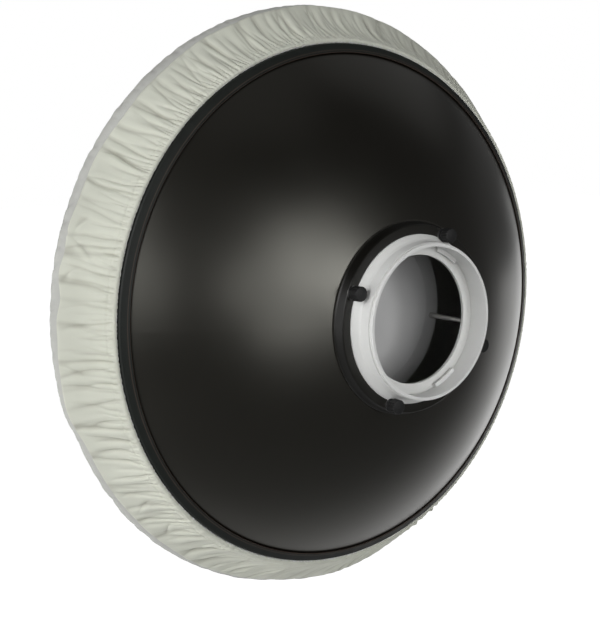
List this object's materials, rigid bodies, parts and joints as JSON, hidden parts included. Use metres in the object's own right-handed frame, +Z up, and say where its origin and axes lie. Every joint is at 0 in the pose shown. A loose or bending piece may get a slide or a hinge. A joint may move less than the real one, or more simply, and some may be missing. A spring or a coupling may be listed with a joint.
{
  "type": "soft reflector for a studio flash",
  "caption": "Shallow round dish reflector with a stretch cloth diffuser over its mouth, an inner deflector and an adapter ring that knobs clamp on, to fit a studio flash head.",
  "frame": {"origin": "middle of the mouth of the adapter ring's neck, where the flash head goes in", "axes": "+Y backwards along the optical axis, out of the neck's mouth; the light leaves along -Y; +Z up; +X to the right of someone who stands in front of the light source and looks along +Y"},
  "size_m": [0.6449, 0.2095, 0.645],
  "materials": {
    "dish_paint": "satin",
    "edging": "satin",
    "collar_paint": "satin",
    "brass": "satin",
    "steel": "satin",
    "bright_steel": "satin",
    "ring_paint": "satin",
    "deflector_paint": "satin",
    "chrome": "polished",
    "knob_plastic": "matte",
    "front_cloth": "matte",
    "side_cloth": "matte",
    "elastic": "matte"
  },
  "bodies": {
    "reflector": {"dish_shell": "dish_paint", "rim_trim": "edging", "mount_collar": "collar_paint", "thread_inserts": "brass", "backing_ring": "steel", "collar_screws": "bright_steel", "adapter_ring": "ring_paint", "deflector_disc": "deflector_paint", "deflector_post_1": "chrome", "deflector_post_2": "chrome", "deflector_post_3": "chrome", "deflector_washers": "bright_steel", "deflector_cap_nuts": "chrome"},
    "washer_1": {"clamp_washer_1": "bright_steel"},
    "clamp_1": {"clamp_knob_1": "knob_plastic", "clamp_stud_1": "bright_steel"},
    "washer_2": {"clamp_washer_2": "bright_steel"},
    "clamp_2": {"clamp_knob_2": "knob_plastic", "clamp_stud_2": "bright_steel"},
    "washer_3": {"clamp_washer_3": "bright_steel"},
    "clamp_3": {"clamp_knob_3": "knob_plastic", "clamp_stud_3": "bright_steel"},
    "washer_4": {"clamp_washer_4": "bright_steel"},
    "clamp_4": {"clamp_knob_4": "knob_plastic", "clamp_stud_4": "bright_steel"},
    "diffuser": {"diffuser_front": "front_cloth", "diffuser_side": "side_cloth", "hem_elastic": "elastic", "edge_hoop": "steel"}
  },
  "joints": [
    {"name": "clamp_1_travel", "type": "slide", "parent": "reflector", "child": "washer_1", "axis": [0, 1, 0], "range_m": [0, 0.0035]},
    {"name": "clamp_1_turn", "type": "hinge", "parent": "washer_1", "child": "clamp_1", "pos_m": [0.0841, 0, 0.03398], "axis": [0, 1, 0], "range_deg": [0, 1800]},
    {"name": "clamp_2_travel", "type": "slide", "parent": "reflector", "child": "washer_2", "axis": [0, 1, 0], "range_m": [0, 0.0035]},
    {"name": "clamp_2_turn", "type": "hinge", "parent": "washer_2", "child": "clamp_2", "pos_m": [0.03398, 0, -0.0841], "axis": [0, 1, 0], "range_deg": [0, 1800]},
    {"name": "clamp_3_travel", "type": "slide", "parent": "reflector", "child": "washer_3", "axis": [0, 1, 0], "range_m": [0, 0.0035]},
    {"name": "clamp_3_turn", "type": "hinge", "parent": "washer_3", "child": "clamp_3", "pos_m": [-0.0841, 0, -0.03398], "axis": [0, 1, 0], "range_deg": [0, 1800]},
    {"name": "clamp_4_travel", "type": "slide", "parent": "reflector", "child": "washer_4", "axis": [0, 1, 0], "range_m": [0, 0.0035]},
    {"name": "clamp_4_turn", "type": "hinge", "parent": "washer_4", "child": "clamp_4", "pos_m": [-0.03398, 0, 0.0841], "axis": [0, 1, 0], "range_deg": [0, 1800]},
    {"name": "diffuser_pull", "type": "slide", "parent": "reflector", "child": "diffuser", "axis": [0, -1, 0], "range_m": [0, 0.25]}
  ],
  "couplings": [
    {"joint": "clamp_1_turn", "follows": "clamp_1_travel", "rad_per_m": 8976},
    {"joint": "clamp_2_turn", "follows": "clamp_2_travel", "rad_per_m": 8976},
    {"joint": "clamp_3_turn", "follows": "clamp_3_travel", "rad_per_m": 8976},
    {"joint": "clamp_4_turn", "follows": "clamp_4_travel", "rad_per_m": 8976}
  ]
}
